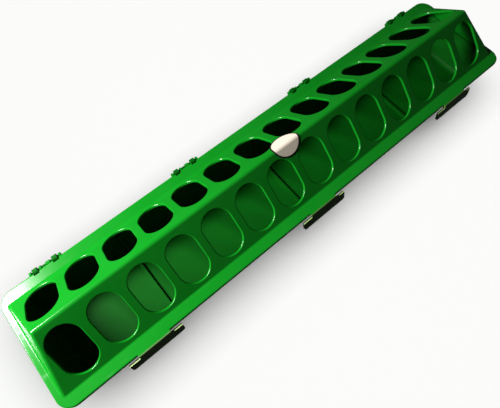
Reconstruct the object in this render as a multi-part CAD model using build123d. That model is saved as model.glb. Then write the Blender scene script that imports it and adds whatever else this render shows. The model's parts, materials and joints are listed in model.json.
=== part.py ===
"""Gravity poultry feeder: a long plastic trough under a flip-top lid.

The lid is a low roof with a row of feeding holes in each slope. It turns on four short pins along
the back rim, and three flaps along the front rim swing in to hold it shut. Millimetres, +Z up. The
origin is the centre of the trough's underside: X runs along the feeder and +Y points to the hinges.
"""

import os
from math import cos, radians, sin, tan

from build123d import *

# Overall size: the lid's flange, which is the widest thing on the feeder.
LENGTH = 508.0
WIDTH = 105.4
CORNER_RADIUS = 12.0
WALL = 2.0

# Lid roof: the slopes rise from the flange to a ridge, and the ends lean inward.
SIDE_FLANGE = 10.4
END_FLANGE = 5.6
SLOPE_ANGLE = 39.25
END_LEAN = 22.9
RIDGE_RADIUS = 3.4
HIP_RADIUS = 2.6
INNER_RIDGE_RADIUS = 2.0
INNER_HIP_RADIUS = 1.0
FOOT_RADIUS = 2.2

# Lid flange: a flat plate with a short lip turned down round its edge.
LIP_WALL = 1.6
LIP_DEPTH = 3.2
FLANGE_EDGE_RADIUS = 1.2

# Feeding holes: upright slots with round ends, in a row along each slope.
HOLE_PITCH = 34.15
HOLE_WIDTH = 26.6
HOLE_LENGTH = 42.8
HOLE_FOOT = 4.0
HOLE_END_MARGIN = 5.5
HOLE_EDGE_RADIUS = 0.8

# Trough: a deep tray with leaning walls under a flat rim.
TROUGH_DEPTH = 36.0
TROUGH_SIDE_LAND = 9.0
TROUGH_END_LAND = 5.2
DRAFT_ANGLE = 9.5
TROUGH_CORNER = 9.0
TROUGH_FLOOR_CORNER = 8.0
FLOOR_RADIUS = 5.0
SKIRT_RADIUS = 3.0
RIM_EDGE_RADIUS = 0.6
RIM_PLAY = 1.2
LID_GAP = 0.2

# Cross ribs that stiffen the trough: low ribs up both walls and across the floor.
RIB_COUNT = 3
RIB_END_INSET = 102.0
RIB_THICKNESS = 2.4
RIB_HEIGHT = 2.4
RIB_TOP_DROP = 5.0

# Hinges along the back: eyes on the lid hold each pin, and hooks on the trough curl over it.
HINGE_COUNT = 4
HINGE_END_INSET = 44.0
PIN_RADIUS = 1.25
PIN_OUTSET = 0.8
PIN_DROP = 1.5
PIN_END = 0.4
PIN_FIT = 0.02
HOOK_CLEARANCE = 0.08
HOOK_WALL = 1.55
HOOK_WIDTH = 4.2
HOOK_OFFSETS = (-8.8, 8.8)
HOOK_SIDE_GAP = 0.5
HOOK_MOUTH = 1.9
HOOK_MOUTH_TILT = 50.0
EYE_RADIUS = 2.1
THIN_EYE_WIDTH = 1.6
WIDE_EYE_WIDTH = 3.4
THIN_EYE_OFFSETS = (-13.2, -4.3, 13.2)
WIDE_EYE_OFFSETS = (2.6,)

# Latch flaps along the front: each hangs from a round bead at the end of a tab on the flange.
LATCH_COUNT = 3
LATCH_END_INSET = 77.0
LATCH_LEANS = (14.0, 18.0, 14.0)
LATCH_WIDTH = 48.6
LATCH_NECK = 29.0
LATCH_HEIGHT = 12.0
LATCH_THICKNESS = 1.8
LATCH_EDGE_GAP = 0.35
LATCH_WING_DROP = 2.4
LATCH_CORNER = 2.6
BEAD_CLEARANCE = 0.08
NECK_DROP = 0.35
CATCH_GRIP = 0.55
CATCH_GAP = 0.4
CATCH_HEIGHT = 2.2
CATCH_SIDE = 2.5

# Round label folded over the ridge.
LABEL_RADIUS = 13.8
LABEL_THICKNESS = 0.25
LABEL_SHIFT = 0.8

# How far a cutter runs past what it cuts, and how near two places count as one.
CUT = 1.0
NEAR = 0.001

# Heights of the main levels.
RIM_TOP = WALL + TROUGH_DEPTH
FLANGE_UNDER = RIM_TOP + LID_GAP
FLANGE_TOP = FLANGE_UNDER + WALL

# Half sizes of the roof's foot and of the trough's mouth.
ROOF_HALF_LENGTH = LENGTH / 2 - END_FLANGE
ROOF_HALF_WIDTH = WIDTH / 2 - SIDE_FLANGE
RIM_INSET = LIP_WALL + RIM_PLAY
RIM_HALF_LENGTH = LENGTH / 2 - RIM_INSET
RIM_HALF_WIDTH = WIDTH / 2 - RIM_INSET
MOUTH_HALF_LENGTH = RIM_HALF_LENGTH - TROUGH_END_LAND
MOUTH_HALF_WIDTH = RIM_HALF_WIDTH - TROUGH_SIDE_LAND

# Pin axis of the hinges and bead axis of the latches.
PIN_Y = WIDTH / 2 + PIN_OUTSET
PIN_Z = FLANGE_TOP - PIN_DROP
HOOK_BORE = PIN_RADIUS + HOOK_CLEARANCE
HOOK_RADIUS = HOOK_BORE + HOOK_WALL
BEAD_RADIUS = WALL / 2
BEAD_Y = -(WIDTH / 2 + LATCH_EDGE_GAP + LATCH_THICKNESS / 2)
BEAD_Z = FLANGE_TOP - BEAD_RADIUS


def spaced(count, end_inset):
    """X places of count features, with the outer two end_inset from the flange's ends."""
    reach = LENGTH / 2 - end_inset
    return [-reach + 2 * reach * i / (count - 1) for i in range(count)]


def rounded_plate(half_length, half_width, radius, low, high):
    """A flat plate with rounded corners between two heights."""
    outline = RectangleRounded(2 * half_length, 2 * half_width, radius)
    return extrude(Pos(0, 0, low) * outline, high - low)


def rod_along_x(x, y, z, radius, length):
    """A round rod along X, centred at x, y, z."""
    return Pos(x, y, z) * Rot(0, 90, 0) * Cylinder(radius, length)


def block(x_range, y_range, z_range):
    """A block between two corners."""
    corners = (x_range, y_range, z_range)
    centre = [(low + high) / 2 for low, high in corners]
    size = [high - low for low, high in corners]
    return Pos(*centre) * Box(*size)


def tray(top_half_length, top_half_width, low, high, skin):
    """The trough's tapering block between two heights, grown outward by skin."""
    shrink = (high - low) * tan(radians(DRAFT_ANGLE))
    top = RectangleRounded(2 * (top_half_length + skin), 2 * (top_half_width + skin), TROUGH_CORNER + skin)
    floor = RectangleRounded(
        2 * (top_half_length - shrink + skin),
        2 * (top_half_width - shrink + skin),
        TROUGH_FLOOR_CORNER + skin,
    )
    return loft([Pos(0, 0, low) * floor, Pos(0, 0, high) * top])


def edges_at(solid, height):
    """The edges of a solid whose highest point lies at one height."""
    return [edge for edge in solid.edges() if abs(edge.bounding_box().max.Z - height) < NEAR]


def inner_tray(skin=0.0):
    """The hollow of the trough, with its rounded floor, shrunk by skin on the walls and floor."""
    hollow = tray(MOUTH_HALF_LENGTH, MOUTH_HALF_WIDTH, WALL + skin, RIM_TOP, -skin)
    return fillet(edges_at(hollow, WALL + skin), FLOOR_RADIUS - skin)


def trough_ribs():
    """Low ribs that follow the walls and floor of the trough."""
    band = inner_tray() - inner_tray(RIB_HEIGHT)
    ribs = []
    for x in spaced(RIB_COUNT, RIB_END_INSET):
        half = RIB_THICKNESS / 2
        slab = block((x - half, x + half), (-WIDTH, WIDTH), (0, RIM_TOP - RIB_TOP_DROP))
        ribs.append(band & slab)
    return ribs


def hinge_hook(x):
    """A hook on the trough's rim that curls over a pin and stays open below it, on the outside."""
    half = HOOK_WIDTH / 2
    root = block((x - half, x + half), (RIM_HALF_WIDTH - WALL, PIN_Y), (RIM_TOP - WALL, RIM_TOP))
    ring = rod_along_x(x, PIN_Y, PIN_Z, HOOK_RADIUS, HOOK_WIDTH)
    bore = rod_along_x(x, PIN_Y, PIN_Z, HOOK_BORE, HOOK_WIDTH + CUT)
    reach = 2 * HOOK_RADIUS
    slot = Box(HOOK_WIDTH + CUT, reach, HOOK_MOUTH)
    mouth = Pos(x, PIN_Y, PIN_Z) * Rot(-HOOK_MOUTH_TILT, 0, 0) * Pos(0, reach / 2, 0) * slot
    return root + ring - bore - mouth


def trough():
    """The trough: a tapering tray with a flat rim, cross ribs and hinge hooks."""
    outer = tray(MOUTH_HALF_LENGTH, MOUTH_HALF_WIDTH, 0, RIM_TOP - WALL / 2, WALL)
    outer = fillet(edges_at(outer, 0), SKIRT_RADIUS)
    corner = CORNER_RADIUS - RIM_INSET
    rim = rounded_plate(RIM_HALF_LENGTH, RIM_HALF_WIDTH, corner, RIM_TOP - WALL, RIM_TOP)
    rim = fillet(edges_at(rim, RIM_TOP), RIM_EDGE_RADIUS)
    body = outer + rim - inner_tray()
    for rib in trough_ribs():
        body += rib
    for centre in spaced(HINGE_COUNT, HINGE_END_INSET):
        for offset in HOOK_OFFSETS:
            body += hinge_hook(centre + offset)
    return body


def roof(inset, ridge_radius, hip_radius, drop=0.0):
    """A hipped roof solid on the flange's top or drop below it, its faces moved inward by inset."""
    slope = radians(SLOPE_ANGLE)
    lean = radians(END_LEAN)
    half_width = ROOF_HALF_WIDTH - inset / sin(slope)
    half_length = ROOF_HALF_LENGTH - inset / cos(lean)
    top = half_width * tan(slope)
    foot_y = half_width + drop / tan(slope)
    foot_x = half_length + drop * tan(lean)
    top_x = half_length - top * tan(lean)
    section = Plane.YZ * Polygon((-foot_y, -drop), (foot_y, -drop), (0, top), align=None)
    trapezium = ((-foot_x, -drop), (foot_x, -drop), (top_x, top), (-top_x, top))
    gable = Plane.XZ * Polygon(*trapezium, align=None)
    solid = extrude(section, LENGTH, both=True) & extrude(gable, WIDTH, both=True)
    solid = Pos(0, 0, FLANGE_TOP) * solid
    middle = FLANGE_TOP + top / 2
    ridge = [edge for edge in solid.edges() if edge.bounding_box().min.Z > middle]
    solid = fillet(ridge, ridge_radius)
    arrises = [
        edge
        for edge in solid.edges()
        if edge.bounding_box().max.Z > middle and edge.bounding_box().size.X < top
    ]
    return fillet(arrises, hip_radius)


def hole_places():
    """X places of the feeding holes: as many as fit between the leaning ends, centred."""
    free = 2 * (ROOF_HALF_LENGTH - HOLE_END_MARGIN) - HOLE_WIDTH
    climb = (HOLE_FOOT + HOLE_LENGTH / 2) * sin(radians(SLOPE_ANGLE))
    free -= 2 * climb * tan(radians(END_LEAN))
    count = int(free // HOLE_PITCH) + 1
    return [(i - (count - 1) / 2) * HOLE_PITCH for i in range(count)]


def slope_place(x, climb, side):
    """Frame on a slope: climb up from its foot, +X along the feeder, +Y up the slope."""
    y = ROOF_HALF_WIDTH - climb * cos(radians(SLOPE_ANGLE))
    z = FLANGE_TOP + climb * sin(radians(SLOPE_ANGLE))
    if side < 0:
        return Pos(x, -y, z) * Rot(SLOPE_ANGLE, 0, 0)
    return Pos(x, y, z) * Rot(-SLOPE_ANGLE, 0, 0)


def feeding_holes(side):
    """Cutters for the holes of one slope."""
    outline = Rot(0, 0, 90) * SlotOverall(HOLE_LENGTH, HOLE_WIDTH)
    cutter = extrude(outline, WALL + CUT, both=True)
    climb = HOLE_FOOT + HOLE_LENGTH / 2
    return [slope_place(x, climb, side) * cutter for x in hole_places()]


def hole_rims(solid, side):
    """The outer edges of the holes in one slope."""
    run = radians(SLOPE_ANGLE)
    rims = []
    for edge in solid.edges():
        centre = edge.bounding_box().center()
        climb = (ROOF_HALF_WIDTH - side * centre.Y) * sin(run)
        above = (centre.Z - FLANGE_TOP) * cos(run) - climb
        inside = HOLE_FOOT / 2 < (centre.Z - FLANGE_TOP) / sin(run) < HOLE_FOOT + HOLE_LENGTH
        if abs(above) < NEAR and inside and edge.bounding_box().size.X < HOLE_WIDTH + NEAR:
            rims.append(edge)
    return rims


def lid_flange():
    """The lid's flat plate with its turned-down lip."""
    low = FLANGE_TOP - LIP_DEPTH
    plate = rounded_plate(LENGTH / 2, WIDTH / 2, CORNER_RADIUS, low, FLANGE_TOP)
    plate = fillet(edges_at(plate, FLANGE_TOP), FLANGE_EDGE_RADIUS)
    corner = CORNER_RADIUS - LIP_WALL
    hollow = rounded_plate(LENGTH / 2 - LIP_WALL, WIDTH / 2 - LIP_WALL, corner, low - CUT, FLANGE_UNDER)
    return plate - hollow


def roof_foot(solid):
    """The edges where the roof meets the flange's top."""
    feet = []
    for edge in edges_at(solid, FLANGE_TOP):
        box = edge.bounding_box()
        if max(abs(box.min.X), abs(box.max.X)) < ROOF_HALF_LENGTH + NEAR:
            if max(abs(box.min.Y), abs(box.max.Y)) < ROOF_HALF_WIDTH + NEAR:
                feet.append(edge)
    return feet


def hinge_notches(centre):
    """Cutters that clear the lid's edge away from the hooks of one hinge."""
    half = HOOK_WIDTH / 2 + HOOK_SIDE_GAP
    inner = PIN_Y - HOOK_RADIUS - HOOK_SIDE_GAP
    tall = (FLANGE_TOP - LIP_DEPTH - CUT, FLANGE_TOP + CUT)
    return [
        block((centre + x - half, centre + x + half), (inner, WIDTH / 2 + CUT), tall)
        for x in HOOK_OFFSETS
    ]


def hinge_eyes(centre):
    """The lid's eyes for one pin."""
    eyes = []
    for offsets, width in ((THIN_EYE_OFFSETS, THIN_EYE_WIDTH), (WIDE_EYE_OFFSETS, WIDE_EYE_WIDTH)):
        for x in offsets:
            eyes.append(rod_along_x(centre + x, PIN_Y, PIN_Z, EYE_RADIUS, width))
    return eyes


def pin_length():
    """Length of a hinge pin: from outer eye to outer eye, and a little past each."""
    reach = max(abs(x) for x in THIN_EYE_OFFSETS)
    return 2 * (reach + THIN_EYE_WIDTH / 2 + PIN_END)


def hinge_pin(centre):
    """The pin of one hinge."""
    return rod_along_x(centre, PIN_Y, PIN_Z, PIN_RADIUS, pin_length())


def latch_tab(centre):
    """The flange's tab that a latch flap hangs from, with its round seat."""
    half = LATCH_NECK / 2
    edge = -(WIDTH / 2 - FLANGE_EDGE_RADIUS)
    tab = block((centre - half, centre + half), (BEAD_Y, edge), (BEAD_Z, FLANGE_TOP))
    return tab - rod_along_x(centre, BEAD_Y, BEAD_Z, BEAD_RADIUS + BEAD_CLEARANCE, LATCH_NECK + CUT)


def lid():
    """The lid: a hollow hipped roof on a flange, with feeding holes, hinge eyes and latch tabs."""
    solid = roof(0.0, RIDGE_RADIUS, HIP_RADIUS) + lid_flange()
    solid = fillet(roof_foot(solid), FOOT_RADIUS)
    solid -= roof(WALL, INNER_RIDGE_RADIUS, INNER_HIP_RADIUS, WALL + CUT)
    for side in (-1, 1):
        for cutter in feeding_holes(side):
            solid -= cutter
        solid = fillet(hole_rims(solid, side), HOLE_EDGE_RADIUS)
    for centre in spaced(HINGE_COUNT, HINGE_END_INSET):
        for cutter in hinge_notches(centre):
            solid -= cutter
        for eye in hinge_eyes(centre):
            solid += eye
        solid -= rod_along_x(centre, PIN_Y, PIN_Z, PIN_RADIUS + PIN_FIT, pin_length() + CUT)
    for centre in spaced(LATCH_COUNT, LATCH_END_INSET):
        solid += latch_tab(centre)
    return solid


def latch_flap(centre, lean):
    """A latch flap: a bead, a neck, a wide plate and a catch that hooks under the trough's rim."""
    back = BEAD_Y + LATCH_THICKNESS / 2
    front = BEAD_Y - LATCH_THICKNESS / 2
    low = BEAD_Z - LATCH_HEIGHT
    wing = BEAD_Z - LATCH_WING_DROP
    neck = LATCH_NECK / 2
    wide = LATCH_WIDTH / 2
    plate = block((-wide, wide), (front, back), (low, wing))
    corners = plate.edges().filter_by(Axis.Y).group_by(Axis.Z)[0]
    plate = fillet(corners, LATCH_CORNER)
    plate += block((-neck, neck), (front, back), (low, BEAD_Z - NECK_DROP))
    plate += rod_along_x(0, BEAD_Y, BEAD_Z, BEAD_RADIUS, LATCH_NECK)
    tip = -(RIM_HALF_WIDTH - CATCH_GRIP)
    top = RIM_TOP - WALL - CATCH_GAP
    profile = Plane.YZ * Polygon((back, top), (tip, top), (back, top - CATCH_HEIGHT), align=None)
    plate += extrude(profile, neck - CATCH_SIDE, both=True)
    turned = Pos(0, BEAD_Y, BEAD_Z) * Rot(-lean, 0, 0) * Pos(0, -BEAD_Y, -BEAD_Z) * plate
    return Pos(centre, 0, 0) * turned


def label():
    """A thin round label, folded over the ridge at the middle of the lid."""
    slope = radians(SLOPE_ANGLE)
    outer = roof(-LABEL_THICKNESS, RIDGE_RADIUS + LABEL_THICKNESS, HIP_RADIUS)
    inner = roof(0.0, RIDGE_RADIUS, HIP_RADIUS)
    disc = Ellipse(LABEL_RADIUS, LABEL_RADIUS * cos(slope))
    column = extrude(Pos(0, LABEL_SHIFT, FLANGE_TOP) * disc, 2 * ROOF_HALF_WIDTH)
    return (outer - inner) & column


def feeder():
    """Every node of the feeder by name."""
    nodes = {"trough": trough(), "lid": lid(), "label": label()}
    for number, centre in enumerate(spaced(HINGE_COUNT, HINGE_END_INSET), 1):
        nodes[f"hinge_pin_{number}"] = hinge_pin(centre)
    latches = zip(spaced(LATCH_COUNT, LATCH_END_INSET), LATCH_LEANS)
    for number, (centre, lean) in enumerate(latches, 1):
        nodes[f"latch_flap_{number}"] = latch_flap(centre, lean)
    return nodes


os.makedirs("parts", exist_ok=True)
for name, shape in feeder().items():
    export_step(shape, f"parts/{name}.step")
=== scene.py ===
"""Looks, light and camera for the gravity poultry feeder.

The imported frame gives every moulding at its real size. This script dresses those mouldings, and sets the
stage, the light and the camera. It adds no piece to the feeder and changes no shape.
Everything is in metres: X runs along the feeder, +Y points to the hinges and +Z is up.
"""

import json
import logging
import math
from dataclasses import dataclass, field
from enum import Enum
from typing import Any

import bpy
import numpy as np
from mathutils import Matrix, Vector

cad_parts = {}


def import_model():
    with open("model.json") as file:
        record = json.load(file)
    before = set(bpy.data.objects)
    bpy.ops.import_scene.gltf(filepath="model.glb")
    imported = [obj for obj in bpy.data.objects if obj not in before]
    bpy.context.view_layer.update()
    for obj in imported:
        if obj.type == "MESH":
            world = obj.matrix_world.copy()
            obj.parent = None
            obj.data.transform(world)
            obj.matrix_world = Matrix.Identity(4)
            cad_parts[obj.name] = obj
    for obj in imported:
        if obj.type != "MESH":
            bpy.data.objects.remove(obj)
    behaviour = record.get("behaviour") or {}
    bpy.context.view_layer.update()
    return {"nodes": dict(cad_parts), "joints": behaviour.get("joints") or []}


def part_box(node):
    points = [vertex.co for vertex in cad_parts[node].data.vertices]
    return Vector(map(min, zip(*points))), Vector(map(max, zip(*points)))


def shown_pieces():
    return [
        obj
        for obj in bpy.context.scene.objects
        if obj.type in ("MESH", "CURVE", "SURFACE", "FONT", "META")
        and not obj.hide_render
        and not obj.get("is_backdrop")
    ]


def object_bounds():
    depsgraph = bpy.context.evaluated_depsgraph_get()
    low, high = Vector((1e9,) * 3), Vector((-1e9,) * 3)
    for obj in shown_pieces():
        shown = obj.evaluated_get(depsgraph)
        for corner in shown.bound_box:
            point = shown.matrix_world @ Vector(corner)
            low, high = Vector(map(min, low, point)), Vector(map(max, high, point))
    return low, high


LOG = logging.getLogger("feeder")
MM = 0.001
PLASTIC_IOR = 1.49

Colour = tuple[float, float, float]
Point = tuple[float, float, float]
Band = tuple[float, float]


# ---------------------------------------------------------------------------------------------------------
# Shader expressions
# ---------------------------------------------------------------------------------------------------------
class Value:
    """A shader output that takes part in arithmetic: each operator adds the Math node it stands for."""

    def __init__(self, graph: "Graph", socket: bpy.types.NodeSocket) -> None:
        """Wraps a socket.

        Args:
            graph: The node graph that the socket belongs to.
            socket: The output socket.
        """
        self.graph = graph
        self.socket = socket

    def _math(self, operation: str, *operands: Any, clamp: bool = False) -> "Value":
        """Adds a Math node on these operands and returns its output."""
        settings = {"operation": operation, "use_clamp": clamp}
        return self.graph.node("ShaderNodeMath", settings, dict(enumerate(operands)))

    def __add__(self, other: Any) -> "Value":
        """This plus another."""
        return self._math("ADD", self, other)

    def __radd__(self, other: Any) -> "Value":
        """Another plus this."""
        return self._math("ADD", other, self)

    def __sub__(self, other: Any) -> "Value":
        """This minus another."""
        return self._math("SUBTRACT", self, other)

    def __rsub__(self, other: Any) -> "Value":
        """Another minus this."""
        return self._math("SUBTRACT", other, self)

    def __mul__(self, other: Any) -> "Value":
        """This times another."""
        return self._math("MULTIPLY", self, other)

    def __rmul__(self, other: Any) -> "Value":
        """Another times this."""
        return self._math("MULTIPLY", other, self)

    def __pow__(self, other: Any) -> "Value":
        """This to a power."""
        return self._math("POWER", self, other)

    def absolute(self) -> "Value":
        """Its size without its sign."""
        return self._math("ABSOLUTE", self)

    def step(self, low: float, high: float) -> "Value":
        """A smooth ramp from 0 at low to 1 at high; low may be the larger of the two.

        Args:
            low: Where the ramp is 0.
            high: Where the ramp is 1.

        Returns:
            The ramp, which eases in and out.
        """
        share = self._math("MULTIPLY", self - low, 1.0 / (high - low), clamp=True)
        return share * share * (3.0 - 2.0 * share)


class Graph:
    """The node graph of one material, with a Principled BSDF at its end."""

    def __init__(self, name: str) -> None:
        """Starts an empty material.

        Args:
            name: The material's name.
        """
        self.material = bpy.data.materials.new(name)
        self.material.use_nodes = True
        self.nodes = self.material.node_tree.nodes
        self.links = self.material.node_tree.links
        self.nodes.clear()
        self.place = self.node("ShaderNodeTexCoord", {}, {}, "Object")

    def node(self, kind: str, settings: dict, inputs: dict, output: Any = 0) -> Value:
        """Adds a node.

        Args:
            kind: The node's type.
            settings: Its properties.
            inputs: Values or links of its sockets, by name or number.
            output: The output to return, by name or number.

        Returns:
            The chosen output.
        """
        made = self.nodes.new(kind)
        for key, value in settings.items():
            setattr(made, key, value)
        for key, value in inputs.items():
            socket = made.inputs[key]
            if isinstance(value, Value):
                self.links.new(value.socket, socket)
            else:
                socket.default_value = value
        return Value(self, made.outputs[output])

    def vector(self, operation: str, *operands: Any, output: Any = 0) -> Value:
        """A Vector Math node on these operands."""
        settings = {"operation": operation}
        return self.node("ShaderNodeVectorMath", settings, dict(enumerate(operands)), output)

    def along(self, axis: Point, origin: Point = (0.0, 0.0, 0.0)) -> Value:
        """Distance from origin measured along an axis, in metres."""
        offset = self.vector("SUBTRACT", self.place, origin)
        return self.vector("DOT_PRODUCT", offset, axis, output="Value")

    def noise(
        self, size: float, detail: float = 2.0, rough: float = 0.5, stretch: Point = (1.0, 1.0, 1.0)
    ) -> Value:
        """Soft noise between 0 and 1.

        Args:
            size: Width of its blotches in metres.
            detail: How many finer layers it adds.
            rough: How strong the finer layers are.
            stretch: How much wider the blotches are along X, Y and Z.

        Returns:
            The noise value.
        """
        scale = tuple(1.0 / (size * part) for part in stretch)
        place = self.vector("MULTIPLY", self.place, scale)
        inputs = {"Vector": place, "Scale": 1.0, "Detail": detail, "Roughness": rough}
        return self.node("ShaderNodeTexNoise", {}, inputs)

    def mix(self, share: Any, low: Any, high: Any) -> Value:
        """A colour between low and high.

        Args:
            share: 0 gives low and 1 gives high.
            low: The first colour.
            high: The second colour.

        Returns:
            The mixed colour.
        """
        made = self.nodes.new("ShaderNodeMix")
        made.data_type = "RGBA"
        for number, value in ((0, share), (6, low), (7, high)):
            if isinstance(value, Value):
                self.links.new(value.socket, made.inputs[number])
            elif number:
                made.inputs[number].default_value = (*value, 1.0)
            else:
                made.inputs[number].default_value = value
        return Value(self, made.outputs[2])

    def bump(self, height: Value, depth: float, strength: float = 1.0, under: Value | None = None) -> Value:
        """A bumped normal, with height times depth as its relief in metres."""
        inputs: dict = {"Height": height, "Distance": depth, "Strength": strength}
        if under is not None:
            inputs["Normal"] = under
        return self.node("ShaderNodeBump", {}, inputs)

    def finish(self, **inputs: Any) -> bpy.types.Material:
        """Ends the graph in a Principled BSDF with these inputs; underscores stand for spaces."""
        named = {key.replace("_", " "): value for key, value in inputs.items()}
        surface = self.node("ShaderNodeBsdfPrincipled", {}, named)
        self.node_output(surface)
        return self.material

    def node_output(self, surface: Value) -> None:
        """Adds the material output."""
        output = self.nodes.new("ShaderNodeOutputMaterial")
        self.links.new(surface.socket, output.inputs["Surface"])


# ---------------------------------------------------------------------------------------------------------
# Finishes
# ---------------------------------------------------------------------------------------------------------
class Wear(Enum):
    """How much handling a moulding shows."""

    SHELTERED = 0.35
    HANDLED = 1.0


@dataclass(frozen=True)
class MouldedPlastic:
    """Glossy injection-moulded plastic: cloudy colour, faint sheen marks and slightly uneven walls."""

    name: str
    colour: Colour
    bloom: Colour
    gloss_roughness: float = 0.15
    specular: float = 0.5
    wear: Wear = Wear.HANDLED
    cloud_size: float = 60 * MM
    scuff_size: float = 5 * MM
    cloud_band: Band = (0.35, 0.7)
    scuff_band: Band = (0.56, 0.74)
    cloud_share: float = 0.22
    scuff_share: float = 0.14
    scuff_stretch: Point = (9.0, 1.6, 1.6)
    cloud_roughness: float = 0.06
    scuff_roughness: float = 0.12
    ripple_size: float = 26 * MM
    ripple_depth: float = 0.04 * MM
    grain_size: float = 0.7 * MM
    grain_depth: float = 0.003 * MM

    def material(self) -> bpy.types.Material:
        """Builds the material.

        Returns:
            A material that reads object coordinates only.
        """
        graph = Graph(self.name)
        cloud = graph.noise(self.cloud_size, 3.0, 0.55)
        streaks = graph.noise(self.scuff_size, 4.0, 0.6, stretch=self.scuff_stretch).step(*self.scuff_band)
        scuff = streaks * self.wear.value
        share = cloud.step(*self.cloud_band) * self.cloud_share + scuff * self.scuff_share
        base = graph.mix(share, self.colour, self.bloom)
        roughness = self.gloss_roughness + cloud * self.cloud_roughness + scuff * self.scuff_roughness
        ripple = graph.noise(self.ripple_size, 1.0, 0.4)
        grain = graph.noise(self.grain_size, 2.0, 0.5)
        relief = graph.bump(grain, self.grain_depth, 1.0, graph.bump(ripple, self.ripple_depth))
        return graph.finish(
            Base_Color=base,
            Roughness=roughness,
            Normal=relief,
            IOR=PLASTIC_IOR,
            Specular_IOR_Level=self.specular,
        )


@dataclass(frozen=True)
class LatchPlasticShadeAndGlint:
    """The latch flaps' plastic, darkened as painted shade, with a painted highlight along the wings' top
    edges.
    """

    name: str
    colour: Colour
    edge_highlight: Colour
    axis: Point
    down: Point
    edge_place: float
    neck_half: float
    edge_fade: Band = (0.1 * MM, 0.5 * MM)
    scuff_band: Band = (0.55, 0.75)
    scuff_stretch: Point = (6.0, 1.0, 1.0)
    cloud_size: float = 9 * MM
    cloud_share: float = 0.3
    scuff_size: float = 2 * MM
    scuff_share: float = 0.2
    gloss_roughness: float = 0.3
    cloud_roughness: float = 0.1
    grain_size: float = 0.9 * MM
    grain_depth: float = 0.01 * MM

    def material(self) -> bpy.types.Material:
        """Builds the material of one flap, with its painted edge highlight a set distance down from its
        axis.
        """
        graph = Graph(self.name)
        depth = graph.along(self.down, self.axis)
        side = graph.along((1.0, 0.0, 0.0), self.axis).absolute()
        near, far = self.edge_fade
        # Painted highlight: the wings' top edges, above the wing drop and outside the neck, are mixed to the
        # light highlight colour.
        wing = side.step(self.neck_half, self.neck_half + far)
        edge_glint = depth.step(self.edge_place + far, self.edge_place + near) * wing
        cloud = graph.noise(self.cloud_size, 3.0)
        scuff = graph.noise(self.scuff_size, 3.0, 0.6, stretch=self.scuff_stretch).step(*self.scuff_band)
        # The flap's own colour is darker than the lid's green as painted shade.
        base = graph.mix(cloud * self.cloud_share + scuff * self.scuff_share, self.colour, self.edge_highlight)
        base = graph.mix(edge_glint, base, self.edge_highlight)
        relief = graph.bump(graph.noise(self.grain_size), self.grain_depth)
        roughness = self.gloss_roughness + cloud * self.cloud_roughness
        return graph.finish(Base_Color=base, Roughness=roughness, Normal=relief, IOR=PLASTIC_IOR)


@dataclass(frozen=True)
class LabelStock:
    """Blank satin label stock with a thin dark border."""

    name: str
    paper: Colour
    border: Colour
    radius: float
    border_width: float
    centre_y: float
    slope: float
    stain_size: float = 5 * MM
    stain_band: Band = (0.4, 0.8)
    stain_share: float = 0.25
    stain_shade: float = 0.82
    crease_size: float = 1.2 * MM
    crease_depth: float = 0.02 * MM
    satin_roughness: float = 0.42

    def material(self) -> bpy.types.Material:
        """Builds the material; the distance from the centre is measured over the fold."""
        graph = Graph(self.name)
        across = graph.along((0.0, 1.0 / math.cos(self.slope), 0.0), (0.0, self.centre_y, 0.0))
        lengthwise = graph.along((1.0, 0.0, 0.0))
        reach = (across * across + lengthwise * lengthwise) ** 0.5
        ring = reach.step(self.radius - self.border_width, self.radius - self.border_width * 0.7)
        stain = graph.noise(self.stain_size, 3.0).step(*self.stain_band) * self.stain_share
        paper = graph.mix(stain, self.paper, tuple(part * self.stain_shade for part in self.paper))
        base = graph.mix(ring, paper, self.border)
        relief = graph.bump(graph.noise(self.crease_size, 3.0), self.crease_depth)
        return graph.finish(Base_Color=base, Roughness=self.satin_roughness, Normal=relief)


@dataclass(frozen=True)
class FloorPaint:
    """Plain matt floor."""

    name: str
    colour: Colour

    def material(self) -> bpy.types.Material:
        """Builds the material, with a hint of unevenness."""
        graph = Graph(self.name)
        cloud = graph.noise(0.4, 2.0)
        base = graph.mix(cloud * 0.15, self.colour, tuple(part * 0.97 for part in self.colour))
        return graph.finish(Base_Color=base, Roughness=0.9, Specular_IOR_Level=0.1)


# ---------------------------------------------------------------------------------------------------------
# Sub-assemblies
# ---------------------------------------------------------------------------------------------------------
def dress(piece: bpy.types.Object, material: bpy.types.Material) -> None:
    """Gives every material slot of a piece one material.

    Args:
        piece: The object to dress.
        material: Its finish.
    """
    if not piece.material_slots:
        piece.data.materials.append(material)
    for slot in piece.material_slots:
        slot.material = material


# Colours of the lid's plastic, and of the trough's, which lies in the lid's shade: the trough's greens are
# darkened as painted shade.
GREEN: Colour = (0.003, 0.20, 0.009)
GREEN_BLOOM: Colour = (0.012, 0.25, 0.020)
TROUGH_SHADED_GREEN: Colour = (0.0015, 0.085, 0.004)
TROUGH_SHADED_BLOOM: Colour = (0.003, 0.12, 0.006)


@dataclass
class Mouldings:
    """The lid, the trough and the hinge pins: CAD nodes that keep their shape and get their finish."""

    nodes: dict[str, bpy.types.Object]
    lid_plastic: MouldedPlastic = MouldedPlastic("lid_plastic", GREEN, GREEN_BLOOM)
    # The trough's finish uses the darkened greens, which are painted shade for the lid's shadow.
    trough_shaded_plastic: MouldedPlastic = MouldedPlastic(
        "trough_shaded_plastic", TROUGH_SHADED_GREEN, TROUGH_SHADED_BLOOM, gloss_roughness=0.5, specular=0.06, wear=Wear.SHELTERED
    )

    def dress(self) -> None:
        """Dresses the two mouldings and every pin."""
        dress(self.nodes["lid"], self.lid_plastic.material())
        # The trough and every hinge pin get this darkened, painted-shade finish.
        shaded_finish = self.trough_shaded_plastic.material()
        dress(self.nodes["trough"], shaded_finish)
        for name, node in self.nodes.items():
            if name.startswith("hinge_pin"):
                dress(node, shaded_finish)


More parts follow.
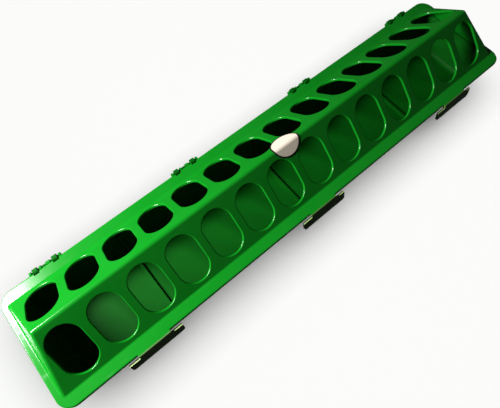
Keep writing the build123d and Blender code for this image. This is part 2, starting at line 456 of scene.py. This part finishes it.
@dataclass
class LatchFlaps:
    """The three flaps along the front."""

    nodes: dict[str, bpy.types.Object]
    joints: list[dict]
    neck_half: float = 14.5 * MM
    wing_drop: float = 2.4 * MM
    # Painted light: the flap colour is darkened as painted shade, and the edge colour is the painted
    # highlight on the wings' top edges.
    colour: Colour = (0.022, 0.105, 0.010)
    edge_highlight: Colour = (0.40, 0.55, 0.20)

    def dress(self) -> None:
        """Dresses each flap in a finish turned to its own lean."""
        for joint in self.joints:
            if joint["child"].startswith("latch"):
                number = joint["child"].split("_")[-1]
                lean = math.radians(-joint["range_deg"][0])
                finish = LatchPlasticShadeAndGlint(
                    name=f"latch_plastic_{number}",
                    colour=self.colour,
                    edge_highlight=self.edge_highlight,
                    axis=tuple(joint["pos_m"]),
                    down=(0.0, -math.sin(lean), -math.cos(lean)),
                    edge_place=self.wing_drop,
                    neck_half=self.neck_half,
                )
                dress(self.nodes[f"latch_flap_{number}"], finish.material())


@dataclass
class Label:
    """The round label over the ridge."""

    node: bpy.types.Object
    slope_degrees: float = 39.25
    border_width: float = 1.5 * MM
    paper: Colour = (0.80, 0.70, 0.57)
    border: Colour = (0.004, 0.003, 0.003)

    def dress(self) -> None:
        """Dresses the label by its own size and place."""
        low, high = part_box("label")
        finish = LabelStock(
            name="label_stock",
            paper=self.paper,
            border=self.border,
            radius=(high.x - low.x) / 2,
            border_width=self.border_width,
            centre_y=(low.y + high.y) / 2,
            slope=math.radians(self.slope_degrees),
        )
        dress(self.node, finish.material())


# ---------------------------------------------------------------------------------------------------------
# Stage, light and camera
# ---------------------------------------------------------------------------------------------------------
@dataclass
class Stage:
    """A plain pale floor."""

    half: float = 4.0
    gap: float = 0.1 * MM
    paint: FloorPaint = FloorPaint("floor_paint", (0.93, 0.93, 0.92))

    def build(self) -> bpy.types.Object:
        """Makes the floor under the feeder's lowest point."""
        low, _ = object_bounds()
        signs = np.array([(-1, -1), (1, -1), (1, 1), (-1, 1)])
        height = np.full((4, 1), low.z - self.gap)
        mesh = bpy.data.meshes.new("floor")
        mesh.from_pydata(np.hstack((signs * self.half, height)).tolist(), [], [(0, 1, 2, 3)])
        floor = bpy.data.objects.new("floor", mesh)
        bpy.context.scene.collection.objects.link(floor)
        dress(floor, self.paint.material())
        floor.visible_diffuse = False
        floor.visible_glossy = False
        floor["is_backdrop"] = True
        return floor


@dataclass
class Softbox:
    """An area light aimed at a point, with its width level and as near to X as its aim allows."""

    name: str
    place: Point
    target: Point
    width: float
    height: float
    power: float
    colour: Colour = (1.0, 1.0, 1.0)

    def build(self, receivers: dict[bpy.types.Object, str]) -> bpy.types.Object:
        """Makes the light.

        Args:
            receivers: Objects that it lights, or leaves out, by "INCLUDE" or "EXCLUDE".

        Returns:
            The light's object.
        """
        lamp = bpy.data.lights.new(self.name, "AREA")
        lamp.shape = "RECTANGLE"
        lamp.size = self.width
        lamp.size_y = self.height
        lamp.energy = self.power
        lamp.color = self.colour
        holder = bpy.data.objects.new(self.name, lamp)
        back = (Vector(self.place) - Vector(self.target)).normalized()
        height = back.cross(Vector((1.0, 0.0, 0.0))).normalized()
        turn = Matrix((height.cross(back), height, back)).transposed()
        holder.matrix_world = Matrix.Translation(self.place) @ turn.to_4x4()
        bpy.context.scene.collection.objects.link(holder)
        group = bpy.data.collections.new(f"{self.name}_receivers")
        holder.light_linking.receiver_collection = group
        for receiver, state in receivers.items():
            group.objects.link(receiver)
            group.collection_objects[-1].light_linking.link_state = state
        return holder


@dataclass
class Studio:
    """Soft light from behind the near end, a softbox that only brightens the floor, and weak fill."""

    floor: bpy.types.Object
    key: Softbox = field(
        default_factory=lambda: Softbox(
            "key_light", (-0.446, 0.216, 0.355), (0.0, 0.0, 0.05), 0.26, 0.10, 8.2
        )
    )
    backdrop: Softbox = field(
        default_factory=lambda: Softbox("floor_light", (0.0, 0.0, 2.6), (0.0, 0.0, 0.0), 5.0, 5.0, 150.0)
    )
    fill: float = 0.03

    def build(self) -> None:
        """Makes the lights and the world's fill."""
        self.key.build({self.floor: "EXCLUDE"})
        self.backdrop.build({self.floor: "INCLUDE"})
        world = bpy.data.worlds.new("fill")
        world.use_nodes = True
        background = world.node_tree.nodes["Background"]
        background.inputs["Color"].default_value = (1.0, 1.0, 1.0, 1.0)
        background.inputs["Strength"].default_value = self.fill
        bpy.context.scene.world = world
        bpy.context.scene.view_settings.view_transform = "Standard"


@dataclass
class ViewCamera:
    """The camera above the near end, rolled so that the feeder runs from low left to high right."""

    place: Point = (-0.1381, -0.1146, 0.3655)
    look: Point = (0.2543, 0.2902, -0.9225)
    up: Point = (0.5903, 0.7090, 0.3858)
    focal_widths: float = 0.817

    def build(self) -> None:
        """Makes the scene's camera; its focal length is given in picture widths."""
        camera = bpy.data.cameras.new("camera")
        camera.sensor_width = 36.0
        camera.lens = camera.sensor_width * self.focal_widths
        camera.clip_start = 0.01
        back = -Vector(self.look).normalized()
        right = Vector(self.up).cross(back).normalized()
        turn = Matrix((right, back.cross(right), back)).transposed()
        holder = bpy.data.objects.new("camera", camera)
        holder.matrix_world = Matrix.Translation(self.place) @ turn.to_4x4()
        bpy.context.scene.collection.objects.link(holder)
        bpy.context.scene.camera = holder


def main() -> None:
    """Builds the scene in order and reports each piece."""
    logging.basicConfig(level=logging.INFO, format="%(name)s: %(message)s")
    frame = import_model()
    Mouldings(frame["nodes"]).dress()
    LatchFlaps(frame["nodes"], frame["joints"]).dress()
    Label(frame["nodes"]["label"]).dress()
    floor = Stage().build()
    Studio(floor).build()
    ViewCamera().build()
    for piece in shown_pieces():
        LOG.info("%s: %d faces", piece.name, len(piece.data.polygons))


if __name__ == "__main__":
    main()
